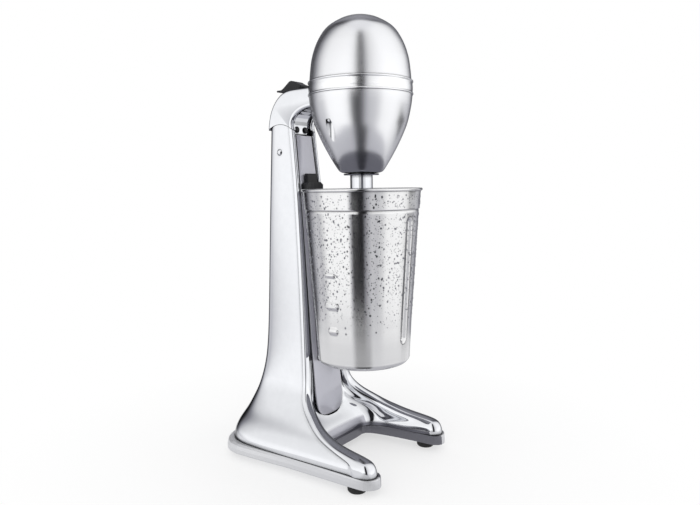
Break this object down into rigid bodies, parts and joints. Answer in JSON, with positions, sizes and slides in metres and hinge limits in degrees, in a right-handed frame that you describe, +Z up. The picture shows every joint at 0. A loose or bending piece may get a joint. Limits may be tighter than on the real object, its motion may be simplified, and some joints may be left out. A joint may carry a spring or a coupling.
{
  "type": "milkshake mixer",
  "caption": "Upright countertop drink mixer: egg-shaped motor head on a tilting neck, tapered chrome column on a two-toed foot, and a tall steel cup hung under the spindle.",
  "frame": {"origin": "centre of the footprint on the table top, under the feet", "axes": "+Z up, -Y the front where the cup hangs and the toes point, +X the mixer's left"},
  "size_m": [0.1418, 0.1686, 0.3735],
  "materials": {
    "polished_chrome": "mirror-bright chrome plating",
    "brushed_steel": "satin brushed stainless steel",
    "satin_grey": "satin grey",
    "glossy_panel": "pale lilac-grey gloss",
    "black_plastic": "black, fine satin",
    "black_rubber": "matt black rubber",
    "laminated_iron": "bare steel laminations",
    "copper_wire": "enamelled copper wire",
    "sintered_bronze": "oil-filled bronze",
    "carbon": "pressed carbon"
  },
  "bodies": {
    "stand": {"stand_casting": "polished_chrome", "column_panel": "glossy_panel", "base_pan": "satin_grey", "cup_guide": "black_plastic", "cup_rest": "black_plastic", "hinge_pin": "polished_chrome", "hinge_washer_left": "black_plastic", "hinge_washer_right": "black_plastic", "cord_grommet": "black_rubber", "supply_cord": "black_rubber", "foot_front_right": "black_rubber", "foot_screw_front_right": "laminated_iron", "foot_front_left": "black_rubber", "foot_screw_front_left": "laminated_iron", "foot_rear_right": "black_rubber", "foot_screw_rear_right": "laminated_iron", "foot_rear_left": "black_rubber", "foot_screw_rear_left": "laminated_iron"},
    "head": {"neck_casting": "polished_chrome", "neck_liner": "polished_chrome", "liner_screw_left": "black_plastic", "liner_screw_right": "black_plastic", "switch_bezel": "black_plastic", "switch_body": "black_plastic", "dome_shell": "brushed_steel", "trim_band": "polished_chrome", "lower_shell": "brushed_steel", "nose_ring": "polished_chrome", "shell_screw_left": "polished_chrome", "shell_screw_right": "polished_chrome", "stator_stack": "laminated_iron", "field_coil_left": "copper_wire", "field_coil_right": "copper_wire", "upper_bracket": "laminated_iron", "upper_bearing": "sintered_bronze", "lower_bracket": "laminated_iron", "lower_bearing": "sintered_bronze", "brush_holder_front": "black_plastic", "brush_holder_rear": "black_plastic", "brush_front": "carbon", "brush_rear": "carbon"},
    "spindle": {"armature_core": "laminated_iron", "armature_winding_upper": "copper_wire", "armature_winding_lower": "copper_wire", "commutator": "copper_wire", "motor_shaft": "laminated_iron", "cooling_fan": "black_plastic", "spindle_hub": "polished_chrome", "spindle_rod": "brushed_steel", "agitator_disc_upper": "brushed_steel", "agitator_disc_lower": "brushed_steel"},
    "rocker": {"rocker": "black_plastic"},
    "cup": {"malt_cup": "brushed_steel"}
  },
  "joints": [
    {"name": "head_tilt", "type": "hinge", "parent": "stand", "child": "head", "pos_m": [0, 0.04355, 0.2663], "axis": [-1, 0, 0], "range_deg": [0, 60]},
    {"name": "spindle_spin", "type": "hinge", "parent": "head", "child": "spindle", "pos_m": [0, -0.03365, 0.2465], "axis": [0, 0, -1], "continuous": true},
    {"name": "rocker_switch", "type": "hinge", "parent": "head", "child": "rocker", "pos_m": [0, 0.03835, 0.3206], "axis": [1, 0, 0], "range_deg": [-6, 6]},
    {"name": "cup_slide", "type": "slide", "parent": "stand", "child": "cup", "axis": [0, -1, 0], "range_m": [0, 0.09]}
  ],
  "couplings": [
    {"joint": "cup_slide", "follows": "head_tilt", "m_per_rad": 0.085}
  ]
}
